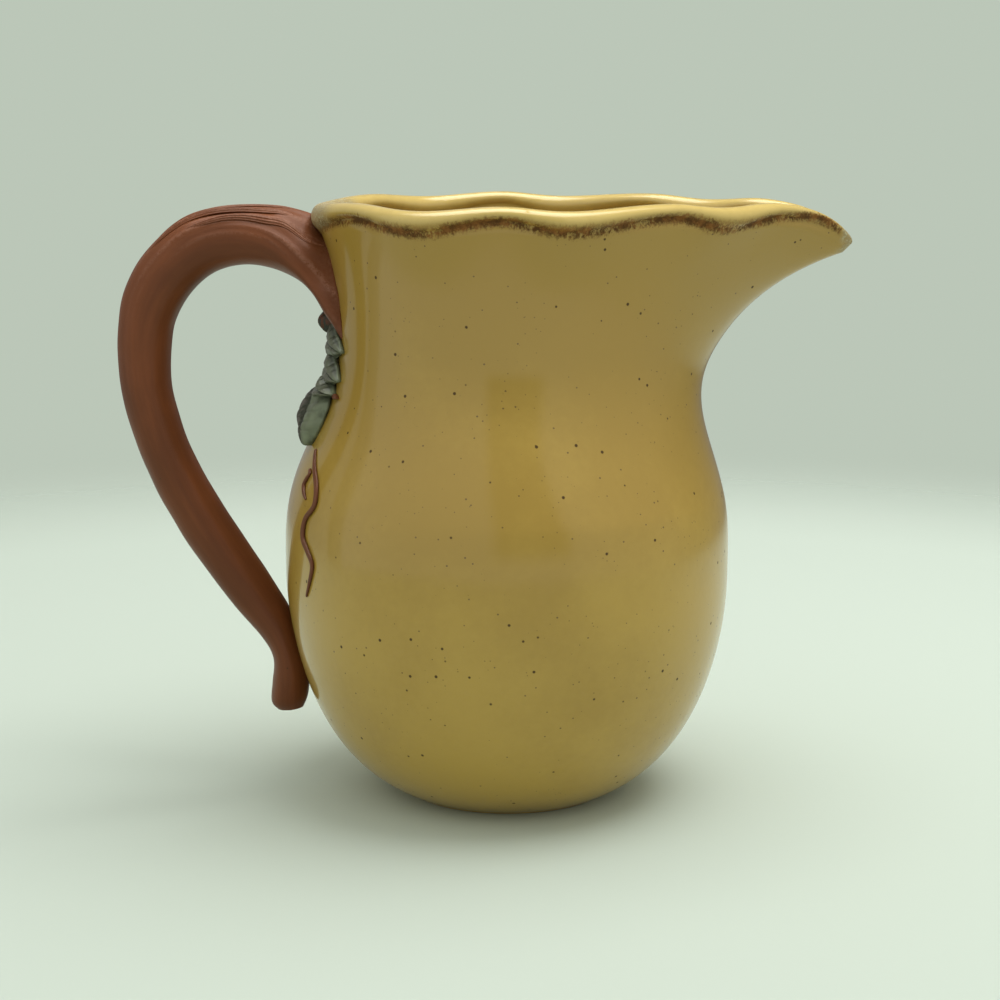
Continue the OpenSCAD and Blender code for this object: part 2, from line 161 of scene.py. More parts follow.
# Tendrils: way round and drop from where the vine hangs, as shares of the largest leaf
TENDRILS = {
    "tendril_near": (
        (1.22, 2.30), (1.50, 2.52), (1.88, 2.79), (2.04, 3.09), (1.84, 3.36),
        (1.84, 3.66), (2.07, 3.87), (2.22, 4.06), (2.12, 4.36), (1.98, 4.63),
    ),
    "curl_near": (
        (1.36, 2.60), (1.46, 2.66), (1.42, 2.74), (1.40, 2.86), (1.52, 2.98), (1.66, 3.06),
    ),
}
CURL_W = 0.7
PAPER_SIDES = 128


def number(name, description, default, **options):
    """A plain number, unless the options give it a unit."""
    return FloatProperty(name=name, description=description, default=default, **options)


def length(name, description, default):
    """A size in metres."""
    return number(name, description, default, min=0, precision=4, subtype="DISTANCE", unit="LENGTH")


def position(name, description, default):
    """A place in metres; the pitcher's axis stands at the origin."""
    return FloatVectorProperty(
        name=name, description=description, default=default, size=3, precision=4,
        subtype="TRANSLATION", unit="LENGTH",
    )


def colour(name, description, default):
    """A linear colour."""
    return FloatVectorProperty(
        name=name, description=description, default=default, size=3, min=0, max=1, subtype="COLOR",
    )


class ShellSizes(bpy.types.PropertyGroup):
    foot_r: length("Foot radius", "Radius of the foot", 0.037)
    foot_ring_w: length("Foot ring width", "Width of the bare ring", 0.006)
    foot_recess_d: length("Recess depth", "Depth inside the foot ring", 0.0025)
    foot_round: length("Foot rounding", "Radius of the foot's wiped edges", 0.0008)
    belly_r: length("Belly radius", "Largest radius of the belly", SHELL_BOX[1][1])
    belly_z: length("Belly height", "Height of the widest place", 0.082)
    neck_r: length("Neck radius", "Smallest radius of the neck", 0.061)
    neck_z: length("Neck height", "Height of the narrowest place", 0.166)
    wall_t: length("Wall", "Thickness of the fired wall", 0.005)
    floor_t: length("Floor", "Thickness in the middle", 0.007)
    belly_squareness: number("Belly squareness", "How square the lower belly is", 2.9)
    belly_lift: number("Belly lift", "How fast the lower belly leaves the foot", 1.94)
    shoulder_fullness: number("Shoulder fullness", "How long the shoulder stays full", 1.24)
    rim_r: length("Rim radius", "Radius of the wall under the lip", 0.0655)
    rim_z: length("Crease height", "Height of the crease under the lip", 0.2075)
    lip_h: length("Lip height", "Height above the crease", 0.006)
    lip_overhang: length("Lip overhang", "How far it stands out over the wall", 0.0013)
    lip_wave: length("Crease wave", "How far the crease moves up and down", 0.002)
    lip_top_wave: length("Lip top wave", "How far the lip's top moves up and down", 0.0008)
    flute_depth: length("Flute depth", "How far the lobes stand out", 0.0012)
    flute_z: length("Flute start", "Height at which the flutes die out", 0.184)
    handle_lobe: length("Handle lobe", "Extra reach of the lobe over the handle", 0.0012)
    handle_lobe_drop: length("Handle lobe drop", "How far the crease dips over the handle", 0.0023)
    spout_len: length("Spout length", "How far the spout is drawn out", 0.0562)
    spout_root_z: length("Spout root", "Where the spout leaves the wall", 0.110)
    tip_droop: length("Tip droop", "How far the spout's tip hangs", 0.0112)
    spout_pinch: number("Spout pinch", "How much the spout's sides are drawn in", 0.6)
    tip_extra: length("Tip thickness", "How thick the tip is beyond the wall", 0.003)
    ripple: length("Glaze ripple", "How far the wall strays from true", 0.00012)
    columns: IntProperty(name="Columns", description="Faces round the wall", default=320, min=16)
    rings: IntProperty(name="Rings", description="Faces up the wall", default=138, min=16)


class HandleSizes(bpy.types.PropertyGroup):
    reach: length("Reach", "From the axis to the handle's back", 0.139)
    top_z: length("Top", "Height of the handle's top", 0.2115)
    end_z: length("Lower end", "Height of the handle's lower end", 0.027)
    width: length("Width", "Width in the middle of the grip", 0.022)
    root_w: length("Root width", "Width over the root's tails", 0.048)
    root_drop: length("Root drop", "How far the root's tails hang down", 0.025)
    strand_h: length("Strand height", "Height of the raised strands", 0.0016)
    bark: length("Bark", "Depth of the grooves on the top", 0.00035)


class VineSizes(bpy.types.PropertyGroup):
    leaf_len: length("Leaf length", "Length of the largest leaf", 0.021)
    leaf_edge_t: length("Leaf edge", "Thickness of a leaf at its edge", 0.0009)
    leaf_lift: length("Leaf lift", "How far a leaf swells over the wall", 0.0036)
    vein_d: length("Vein depth", "How deep the veins are pressed in", 0.00022)
    tendril_w: length("Tendril width", "Width of a tendril", 0.0024)
    tendril_h: length("Tendril height", "Height of a tendril over the wall", 0.0011)
    slip_t: length("Slip", "Thickness of the slip under a piece", 0.0002)
    sink: length("Sink", "How far a piece sinks into the wall", 0.0003)


class GlazeColours(bpy.types.PropertyGroup):
    mustard: colour("Mustard", "Glaze of the shell", (0.468, 0.305, 0.052))
    # Deep mustard also serves as painted shade: the shell turns deeper towards the top.
    mustard_deep: colour("Deep mustard", "The same where it lies thick", (0.390, 0.246, 0.038))
    speck: colour("Specks", "Iron specks in the mustard glaze", (0.065, 0.034, 0.010))
    rim_brown: colour("Rim brown", "Stippled band under the lip", (0.235, 0.096, 0.020))
    rim_deep: colour("Deep rim brown", "The band where it lies thick", (0.100, 0.043, 0.008))
    # This colour is partly thin glaze and partly a painted highlight of the overhead light on the
    # lip and down the inner wall.
    cream_highlight: colour("Cream", "The same where it runs thin on the lip", (0.74, 0.55, 0.170))
    pale: colour("Pale glaze", "Grainy glaze at the handle and the spout's tip", (0.50, 0.45, 0.25))
    bare_clay: colour("Bare clay", "Wiped foot ring", (0.52, 0.36, 0.22))
    brown: colour("Brown", "Glaze of the handle", (0.185, 0.056, 0.018))
    brown_deep: colour("Deep brown", "The same where it lies thick", (0.130, 0.040, 0.013))
    # This brown is partly wear and partly a painted highlight on the ridges and the handle's top.
    brown_worn_highlight: colour("Worn brown", "The handle's glaze on its ridges", (0.34, 0.165, 0.105))
    leaf: colour("Leaf", "Glaze of the leaves", (0.135, 0.150, 0.095))
    # Deep leaf is painted shade, partly pooled glaze, in the folds and on the folded leaf's turned
    # side.
    leaf_deep: colour("Deep leaf", "The leaves' glaze in the folds", (0.040, 0.045, 0.028))
    # This grey is partly wear and partly a painted highlight on the leaves' ridges.
    leaf_worn_highlight: colour("Worn leaf", "Lilac grey on the leaves' ridges", (0.210, 0.185, 0.165))
    leaf_tip: colour("Leaf tip", "Pale green at the leaves' tips and rims", (0.235, 0.275, 0.170))
    vine: colour("Vine", "Glaze of the tendrils", (0.118, 0.042, 0.016))


class StageSettings(bpy.types.PropertyGroup):
    eye: position("Eye", "Where the camera stands", (-0.0026, -0.749, 0.2474))
    pitch: number(
        "Pitch", "How far down the camera looks", math.radians(10.69), subtype="ANGLE",
        unit="ROTATION",
    )
    focal: number("Lens", "Focal length in millimetres", 75.74, subtype="DISTANCE_CAMERA")
    paper: colour("Paper", "Pale floor under the pitcher", (0.585, 0.658, 0.575))
    backdrop: colour("Backdrop", "What the camera sees behind the floor", (0.50, 0.57, 0.48))
    tent: colour("Tent", "Tint of the soft light all round", (0.98, 1.0, 0.96))
    paper_r: length("Paper radius", "Where the floor begins to fade", 0.46)
    paper_fade: length("Paper fade", "Width over which the floor fades", 0.32)
    lamp_power: number("Lamp power", "Power of the lamp in watts", 6.8)
    lamp_size: length("Lamp size", "Width of the lamp", 0.85)
    lamp: position("Lamp", "Where the lamp hangs overhead", (0.27, 0.04, 1.05))
    sides: number("Side brightness", "Brightness at table height", 0.47)
    top: number("Top brightness", "Brightness overhead", 0.90)
    gleam: number("Gleam", "How much brighter the roof shows in the glaze", 6.5)


# Shape of the clay

def mix(a, b, part):
    """Straight mix of a and b."""
    return a + (b - a) * part


def smooth(part):
    """Eased 0 to 1 step."""
    s = np.clip(part, 0, 1)
    return s ** 3 * (6 * s * s - 15 * s + 10)


def through(table, t):
    """Smooth curve through the rows of a table; t counts rows and may be an array."""
    table = np.asarray(table, float)
    last = len(table) - 1
    t = np.asarray(t, float)
    k = np.minimum(np.floor(t).astype(int), last - 1)
    f = (t - k)[..., None]
    a, b, c, d = (table[np.clip(k + ahead, 0, last)] for ahead in (-1, 0, 1, 2))
    bend = 2 * a - 5 * b + 4 * c - d
    swing = 3 * b - a - 3 * c + d
    return 0.5 * (2 * b + (c - a) * f + bend * f ** 2 + swing * f ** 3)


def ripple(points, seed, size):
    """A smooth random field from -1 to 1 over points, with waves of about the given size."""
    draw = np.random.default_rng(seed)
    field = 0
    waves = 14
    for _ in range(waves):
        way = draw.normal(size=3)
        way *= 2 * math.pi / (size * draw.uniform(0.7, 1.6) * np.linalg.norm(way))
        field = field + np.sin(points @ way + draw.uniform(0, 2 * math.pi))
    return field / math.sqrt(waves)


def unit(ways):
    """The same directions with a length of 1."""
    return ways / np.linalg.norm(ways, axis=-1, keepdims=True)


def arch(across):
    """Height of a round crown from -1 to 1."""
    return np.sqrt(np.clip(1 - across ** 2, 0, 1))


def section(crown_points, foot_points, foot_half):
    """Places across a raised piece, over its crown and back along its foot, and which are foot."""
    foot = np.linspace(foot_half, -foot_half, foot_points)
    across = np.concatenate([np.linspace(-1, 1, crown_points), foot])[None, :]
    return across, np.arange(across.shape[1])[None, :] >= crown_points


def from_spout(angle):
    """How far an angle is from the middle of the spout."""
    return np.abs((angle + math.pi) % (2 * math.pi) - math.pi)


def towards(side, angle, focus):
    """1 in the middle of a side, the spout's (1) or the handle's (-1), and 0 away from it."""
    return ((1 + side * np.cos(angle)) / 2) ** focus


class Clay:
    """The surfaces of the pitcher, worked out from its sizes; angles and heights may be arrays."""

    probe = 0.00005

    def __init__(self, scene):
        self.s = scene.pitcher_shell
        self.h = scene.pitcher_handle
        self.v = scene.pitcher_vine

    def round_wall(self, z):
        """Radius of the wall before it is fluted: belly, shoulder and rim."""
        s = self.s
        z = np.asarray(z, float)
        foot = (s.foot_r / s.belly_r) ** s.belly_squareness
        fall = np.clip(1 - z / s.belly_z, 0, None) ** s.belly_lift
        belly = s.belly_r * (1 - (1 - foot) * fall) ** (1 / s.belly_squareness)
        rise = np.clip((z - s.belly_z) / (s.neck_z - s.belly_z), 0, 1) ** s.shoulder_fullness
        shoulder = mix(s.belly_r, s.neck_r, smooth(rise))
        flare = np.clip((z - s.neck_z) / (s.rim_z - s.neck_z), 0, None) ** RIM_FLARE
        upper = np.where(z < s.neck_z, shoulder, mix(s.neck_r, s.rim_r, flare))
        return np.where(z < s.belly_z, belly, upper)

    def slope(self, z):
        above, below = self.round_wall(z + self.probe), self.round_wall(z - self.probe)
        return (above - below) / (2 * self.probe)

    def lobe(self, angle):
        return np.cos(np.radians(np.interp(np.degrees(from_spout(angle)), LIP_ANGLES, LIP_TURNS)))

    def fluted(self, z):
        """How far a height lies up the run of the flutes, which ends at the crease."""
        return np.clip(1 - (self.s.rim_z - z) / abs(self.s.rim_z - self.s.flute_z), 0, 1)

    def flute(self, angle, z):
        s = self.s
        reach = s.flute_depth * self.lobe(angle) + s.handle_lobe * towards(-1, angle, TIP_FOCUS)
        return reach * self.fluted(z) ** 2

    def wall_r(self, angle, z):
        return self.round_wall(z) + self.flute(angle, z)

    def climb(self, z):
        return np.clip((z - self.s.spout_root_z) / (self.s.rim_z - self.s.spout_root_z), 0, 1)

    def spout_drop(self, angle, v):
        return self.s.tip_droop * v ** 4 * towards(1, angle, DROOP_FOCUS)

    def wall_point(self, angle, r, z, v, reach):
        """A point of the wall: r is its round radius and reach the spout's length there."""
        side = towards(1, angle, mix(SPOUT_FOCUS_ROOT, SPOUT_FOCUS_RIM, v))
        push = reach * (SPOUT_EARLY_SHARE * v ** 2 + (1 - SPOUT_EARLY_SHARE) * v ** 4)
        return np.stack([
            r * np.cos(angle) + push * side,
            r * np.sin(angle) * (1 - self.s.spout_pinch * v * side),
            z - self.spout_drop(angle, v),
        ], axis=-1)

    def outer_point(self, angle, z):
        return self.wall_point(angle, self.wall_r(angle, z), z, self.climb(z), self.s.spout_len)

    def inner_point(self, angle, z):
        s = self.s
        slope = self.slope(z)
        square = s.wall_t / np.sqrt(1 + slope ** 2)
        r = self.wall_r(angle, z) - square
        reach = s.spout_len - s.tip_extra
        return self.wall_point(angle, r, z + square * slope, self.climb(z), reach)

    def crease_z(self, angle):
        s = self.s
        over_handle = towards(-1, angle, HANDLE_LOBE_FOCUS)
        return s.rim_z - s.lip_wave * self.lobe(angle) - s.handle_lobe_drop * over_handle

    def lip_point(self, angle, turn):
        """The lip is a bead round the wall's top; turn runs from its outer crease over the top."""
        s = self.s
        turn = np.broadcast_to(turn, angle.shape)
        rim = np.full_like(angle, s.rim_z)
        outer = self.outer_point(angle, rim)
        inner_r = self.wall_r(angle, rim) - s.wall_t
        reach = s.spout_len - s.tip_extra
        inner = self.wall_point(angle, inner_r, rim, np.ones_like(angle), reach)
        wide = np.linalg.norm(outer - inner, axis=-1, keepdims=True)
        out = (outer - inner) / wide
        low = self.crease_z(angle)
        half_h = (s.rim_z + s.lip_h - s.lip_top_wave * self.lobe(angle) - low) / 2
        overhang = s.lip_overhang * (1 - TIP_OVERHANG_CUT * towards(1, angle, TIP_FOCUS))[..., None]
        point = (outer + inner) / 2 + out * (wide / 2 + overhang) * np.cos(turn)[..., None]
        point[..., 2] = low + half_h * (1 + np.sin(turn)) - self.spout_drop(angle, 1)
        return point

    def ring_z(self, z, angle):
        """Height of a wall ring at an angle: near the top the rings follow the crease."""
        return z + (self.crease_z(angle) - self.s.rim_z) * self.fluted(z)

    def seat_r(self, angle, z):
        """Radius of what a piece lies against: the wall, and over the crease the lip's bead."""
        s = self.s
        angle, z = np.broadcast_arrays(np.asarray(angle, float), np.asarray(z, float))
        around = angle[..., None]
        levels = self.ring_z(np.linspace(s.flute_z, s.rim_z, WALL_LEVELS)[:-1], around)
        turns = np.linspace(LIP_OUT, 0, BEAD_LEVELS)
        bead = np.stack([self.lip_point(angle, turn) for turn in turns], axis=-2)
        bead_r = np.hypot(bead[..., 0], bead[..., 1])
        heights = np.concatenate([levels, bead[..., 2]], axis=-1)
        radii = np.concatenate([self.wall_r(around, levels), bead_r], axis=-1)
        above = np.clip((heights < z[..., None]).sum(-1), 1, heights.shape[-1] - 1)[..., None]
        (low, near), (high, far) = (
            [np.take_along_axis(table, above - k, -1)[..., 0] for table in (heights, radii)]
            for k in (1, 0)
        )
        fluted = mix(near, far, np.clip((z - low) / (high - low), 0, 1))
        return np.where(z < s.flute_z, self.round_wall(z), fluted)

    def on_seat(self, p, part):
        """Draws points to the seat: part 1 lays them on it, 0 only keeps them out of the wall."""
        angle = np.arctan2(p[..., 1], p[..., 0])
        reach = np.hypot(p[..., 0], p[..., 1])
        seat = self.seat_r(angle, p[..., 2]) + (self.v.slip_t - self.v.sink)
        r = np.where(reach < seat, seat, mix(reach, seat, part))
        return np.stack([r * np.cos(angle), r * np.sin(angle), p[..., 2]], axis=-1)

    def on_wall(self, arc, z, lift):
        """Points over the wall: arc is the way round from under the handle to the near side."""
        turn = arc / self.seat_r(math.pi, z)
        r = self.seat_r(math.pi - turn, z) + lift
        return np.stack([-r * np.cos(turn), -r * np.sin(turn), z], axis=-1)

    def grip_x(self, part):
        return -mix(self.s.neck_r, self.h.reach, part)

    def grip_z(self, part):
        return mix(self.h.end_z, self.h.top_z, part)

    @property
    def vine_z(self):
        """Height from which the vine hangs: where the handle's inner edge meets the wall."""
        return self.grip_z(GRIP[0][3])

    def grip_point(self, t, turn):
        """The handle's skin: t counts the rows of GRIP, turn runs round from its outer edge."""
        h = self.h
        row = through(GRIP, t)
        spread = np.clip(row[..., 5], 0, None)
        x, z = self.grip_x(row[..., (0, 2)]), self.grip_z(row[..., (1, 3)])
        half_w = mix(h.width * row[..., 4], h.root_w, spread) / 2
        p = np.stack([
            x.mean(-1) + (x[..., 0] - x[..., 1]) / 2 * np.cos(turn),
            half_w * (np.sin(turn) * np.abs(np.sin(turn)) ** (TENT * spread)),
            z.mean(-1) + (z[..., 0] - z[..., 1]) / 2 * np.cos(turn)
            - h.root_drop * spread * np.sin(turn) ** 2,
        ], axis=-1)
        alike = np.where((False, True, False), np.abs(p), p)
        rough = ROOT_ROUGH * spread
        outward = np.clip(p[..., 1] / ROOT_CALM, -1, 1)
        p[..., 1] += rough * ripple(alike, seed=11, size=0.012) * outward
        p[..., 2] += rough * ripple(alike, seed=12, size=0.010)
        return self.on_seat(p, spread ** 2)


# Meshes

def add_object(name, data):
    """A new object in the scene."""
    piece = bpy.data.objects.new(name, data)
    bpy.context.scene.collection.objects.link(piece)
    return piece


def skin(name, rings, first, last, **layers):
    """Joins closed rings of equal length into a smooth solid; layers are values at its points."""
    rings = np.asarray(rings)
    m, n = rings.shape[:2]
    points = np.concatenate([rings.reshape(-1, 3), [first, last]])
    grid = np.arange(m * n).reshape(m, n)
    ahead = np.roll(grid, -1, axis=1)
    quads = np.stack([grid[:-1], grid[1:], ahead[1:], ahead[:-1]], axis=-1).reshape(-1, 4)
    start = np.stack([np.full(n, m * n), grid[0], ahead[0]], axis=-1)
    end = np.stack([np.full(n, m * n + 1), ahead[-1], grid[-1]], axis=-1)
    mesh = bpy.data.meshes.new(name)
    mesh.from_pydata(points.tolist(), [], quads.tolist() + start.tolist() + end.tolist())
    for layer, values in layers.items():
        values = np.broadcast_to(np.asarray(values, float), (m, n)).reshape(-1)
        ends = [values[:n].mean(), values[-n:].mean()]
        attribute = mesh.attributes.new(layer, "FLOAT", "POINT")
        attribute.data.foreach_set("value", np.concatenate([values, ends]).astype(np.float32))
    mesh.shade_smooth()
    mesh.update()
    return add_object(name, mesh)


def mirrored(points):
    """The same rings on the far side, turned round so that they still face outwards."""
    return (np.asarray(points) * (1, -1, 1))[..., ::-1, :]


def dress(piece, node, material):
    """Puts a finished piece in the place of its CAD node."""
    piece.data.materials.append(material)
    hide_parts(node)
    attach(piece, BODY)


def dress_each(nodes, rings, material, layers, tips=None):
    """Makes a piece for the first node and its mirror image for the second, if there is one."""
    for node in nodes:
        ends = tips or (rings[0].mean(0), rings[-1].mean(0))
        dress(skin(node + "_glazed", rings, *ends, **layers), node, material)
        rings = mirrored(rings)
        tips = tips and [tip * (1, -1, 1) for tip in tips]
        layers = {name: values[:, ::-1] for name, values in layers.items()}


def both_sides(node):
    return node, node.replace("near", "far")


# Glazes

class Value:
    """A shader socket that Python's operators work on; each operator adds a Math node."""

    def __init__(self, nodes, socket):
        self.nodes = nodes
        self.socket = socket

    def math(self, operation, *values):
        return self.nodes.add("ShaderNodeMath", {"operation": operation}, dict(enumerate(values)))

    def __add__(self, other):
        return self.math("ADD", self, other)

    def __sub__(self, other):
        return self.math("SUBTRACT", self, other)

    def __rsub__(self, other):
        return self.math("SUBTRACT", other, self)

    def __mul__(self, other):
        return self.math("MULTIPLY", self, other)

    def __pow__(self, other):
        return self.math("POWER", self, other)

    __radd__ = __add__
    __rmul__ = __mul__


class Recipe:
    """A node tree under construction."""

    def __init__(self, tree):
        self.tree = tree

    def add(self, kind, settings, sockets, output=0):
        """Adds a node: its settings first, then the values or links of its sockets."""
        node = self.tree.nodes.new(kind)
        for name, value in settings.items():
            setattr(node, name, value)
        self.feed(node, sockets)
        return Value(self, node.outputs[output])

    def feed(self, node, sockets):
        """Links or sets sockets of a node."""
        for name, value in sockets.items():
            if isinstance(value, Value):
                self.tree.links.new(value.socket, node.inputs[name])
            else:
                node.inputs[name].default_value = value

    def axis(self, vector, name):
        """One coordinate of a vector."""
        return self.add("ShaderNodeSeparateXYZ", {}, {"Vector": vector}, name)

    def step(self, value, low, high):
        """Eased 0 to 1 as value goes from low to high; low may be the larger."""
        sockets = {"Value": value, "From Min": low, "From Max": high}
        return self.add("ShaderNodeMapRange", {"interpolation_type": "SMOOTHSTEP"}, sockets)


class Glaze(Recipe):
    """A node material under construction."""

    def __init__(self, name):
        self.material = bpy.data.materials.new(name)
        self.material.use_nodes = True
        super().__init__(self.material.node_tree)
        self.shader = self.tree.nodes["Principled BSDF"]
        self.spot = self.place()

    def place(self, scale=(1, 1, 1)):
        """The place on the piece in metres, stretched by scale."""
        spot = self.add("ShaderNodeTexCoord", {}, {}, "Object")
        return self.add("ShaderNodeVectorMath", {"operation": "MULTIPLY"}, {0: spot, 1: scale})

    def layer(self, name):
        """A value that the mesh carries at its points."""
        return self.add("ShaderNodeAttribute", {"attribute_name": name}, {}, "Fac")

    def noise(self, size, detail=3, roughness=0.5, spot=None):
        """Soft noise from 0 to 1 with spots of about the given size."""
        sockets = {"Scale": 1 / size, "Detail": detail, "Roughness": roughness}
        sockets["Vector"] = spot or self.spot
        return self.add("ShaderNodeTexNoise", {}, sockets, "Fac")

    def blend(self, part, a, b):
        """Mix of two colours."""
        opaque = [c if isinstance(c, Value) else (*c, 1) for c in (a, b)]
        sockets = {0: part, 6: opaque[0], 7: opaque[1]}
        return self.add("ShaderNodeMix", {"data_type": "RGBA"}, sockets, 2)

    def specks(self, spot, cell, radius, spread):
        """Dots of up to radius scattered one per cell, where spread lets them."""
        sockets = {"Vector": spot, "Scale": 1 / cell}
        cells = self.add("ShaderNodeTexVoronoi", {}, sockets, "Distance")
        size = radius / cell * spread
        return self.step(cells, size, size * 0.6)

    def bump(self, height, distance):
        """Small relief in the glaze."""
        relief = self.add("ShaderNodeBump", {}, {"Height": height, "Distance": distance})
        self.feed(self.shader, {"Normal": relief})

    def finish(self, colour, roughness, coat=0.6, coat_roughness=0.09):
        """Sets the glassy coat and links the colour."""
        self.feed(self.shader, {
            "Base Color": colour, "Roughness": roughness, "Specular IOR Level": 0.15,
            "Coat Weight": coat, "Coat Roughness": coat_roughness,
        })
        return self.material


def mustard_glaze(colours):
    """The shell: thick and thin glaze, painted shade higher up the wall, a painted highlight on the
    lip, iron specks, the stippled band and the wiped foot.
    """
    g = Glaze("mustard_glaze")
    pool = g.noise(0.055, 2)
    mottle = g.noise(0.0035, 4, 0.6)
    hair = g.noise(0.0009, 2, 0.7, g.place((1, 1, 0.55)))
    grit = g.noise(0.0008, 3, 0.7)
    # Pooling and mottle are real glaze; the height term is painted shade, darker towards the top
    # and lighter low down.
    thick = pool + (mottle - 0.5) * 0.25 + (g.axis(g.spot, "Z") - 0.09) * 2.6
    body = g.blend(g.step(thick, 0.28, 0.72), colours.mustard, colours.mustard_deep)
    # Iron specks in three sizes
    crowd = g.noise(0.022, 2)
    dust = g.step(g.noise(0.018, 1), 0.40, 0.62)
    large = g.specks(g.spot, 0.0078, 0.00070, g.step(crowd, 0.24, 0.52))
    small = g.specks(g.place((1, 1, 1.1)), 0.0044, 0.00044, g.step(crowd, 0.28, 0.56))
    fine = g.specks(g.place((1.1, 1, 1)), 0.0026, 0.00030, dust)
    flecks = 1 - (1 - small * 0.75) * (1 - fine * 0.6) * (1 - large * 0.95)
    speckled = g.blend(flecks, body, colours.speck)
    # Painted highlight, partly thin glaze: the pale colour over the lip's upper half and a little
    # way down the inner wall.
    speckled = g.blend(g.layer("crest") * (mottle * 0.3 + 0.65), speckled, colours.cream_highlight)
    # The band lies a few millimetres either side of the crease, with a hairy edge and gaps
    ragged = g.layer("lip_rise") + (hair - 0.5) * 0.0034 + (grit - 0.5) * 0.0026
    band = g.step(ragged, -0.0027, -0.0003) * g.step(ragged, 0.0028, 0.0008)
    patch = g.noise(0.012, 2)
    band = band * g.step(patch + (hair - 0.5) * 0.6, 0.27, 0.47) * g.layer("band")
    clot = g.step(g.noise(0.004, 3) + (grit - 0.5) * 0.6, 0.32, 0.62)
    rim = g.blend(clot, colours.rim_brown, colours.rim_deep)
    pale = g.layer("pale") * g.step(grit, 0.26, 0.50)
    grainy = g.blend(g.step(grit, 0.62, 0.50) * 0.45, colours.pale, colours.rim_brown)
    trimmed = g.blend(band * (1 - pale * 0.5), g.blend(pale, speckled, grainy), rim)
    bare = g.layer("bare")
    shown = g.blend(bare, trimmed, colours.bare_clay)
    g.bump(mottle - large * 0.4 + pale * grit * 4, 0.00006)
    dry = 1 - (1 - bare) * (1 - pale * 0.75) * (1 - large * 0.8) * (1 - band * 0.95)
    return g.finish(shown, dry * 0.40 + 0.35, (1 - dry) * 0.8)


def brown_glaze(colours, name, crown):
    """Handle and strands: streaked red-brown, with a painted highlight, partly wear, on its ridges.
    """
    g = Glaze(name)
    run = g.add("ShaderNodeCombineXYZ", {}, {0: g.layer("run"), 1: g.layer("across"), 2: 0.0})
    streak = g.noise(0.010, 4, 0.6, run)
    cloud = g.noise(0.030, 2)
    thick = g.step(streak * 0.5 + cloud * 0.5, 0.36, 0.64)
    body = g.blend(thick, colours.brown, colours.brown_deep)
    grain = g.noise(0.0011, 3, 0.7)
    scuff = g.noise(0.009, 2)
    # Painted highlight, partly wear: paler brown on the ridges.
    worn_and_highlight = g.layer("worn_and_highlight") * g.step(grain * 0.7 + scuff * 0.3, 0.38, 0.60) * crown
    shown = g.blend(worn_and_highlight, body, colours.brown_worn_highlight)
    dots = g.specks(g.spot, 0.006, 0.0004, g.step(g.noise(0.02, 1), 0.4, 0.6))
    shown = g.blend(dots * 0.7, shown, colours.speck)
    g.bump(grain * 0.8 + streak * 2, 0.00010)
    return g.finish(shown, 0.50, 0.14, 0.22)


def leaf_glaze(colours):
    """Leaves: grey-green, with painted shade, partly pooled glaze, in the folds and a painted
    highlight, partly wear, on the ridges.
    """
    g = Glaze("leaf_glaze")
    cloud = g.noise(0.006, 3)
    # Painted shade, partly pooled glaze: the deep leaf colour in the veins, at the edges and on the
    # folded leaf's turned side.
    fold_shade = g.layer("fold_shade")
    body = g.blend(g.step(fold_shade + (cloud - 0.5) * 0.7, 0.25, 0.85), colours.leaf, colours.leaf_deep)
    # Painted highlight, partly wear: lilac grey on the ridges.
    worn_and_highlight = g.layer("worn_and_highlight") * g.step(g.noise(0.0016, 3), 0.35, 0.65)
    shown = g.blend(worn_and_highlight * 0.85, body, colours.leaf_worn_highlight)
    tip = g.layer("tip") * g.step(cloud, 0.30, 0.60)
    shown = g.blend(tip * 0.8, shown, colours.leaf_tip)
    stripe = g.step(g.noise(0.0012, 2, spot=g.place((1, 1, 0.3))), 0.45, 0.60)
    shown = g.blend(g.layer("bark"), shown, g.blend(stripe, colours.leaf_deep, colours.vine))
    g.bump(cloud + g.noise(0.0014, 3) * 0.5, 0.00014)
    return g.finish(shown, 0.46, 0.22)


def vine_glaze(colours):
    """Tendrils and stems: red-brown, with a painted highlight, partly wear, along the crown; it is
    made once.
    """
    made = bpy.data.materials.get("vine_glaze")
    if made:
        return made
    g = Glaze("vine_glaze")
    cloud = g.noise(0.004, 3)
    body = g.blend(g.step(cloud, 0.3, 0.7), colours.vine, colours.brown_deep)
    # Painted highlight, partly wear: paler brown along the crown.
    shown = g.blend(g.layer("worn_and_highlight") * cloud * 0.25, body, colours.brown_worn_highlight)
    g.bump(cloud, 0.00008)
    return g.finish(shown, 0.50, 0.15)


# Operators, one for each piece or group of like pieces

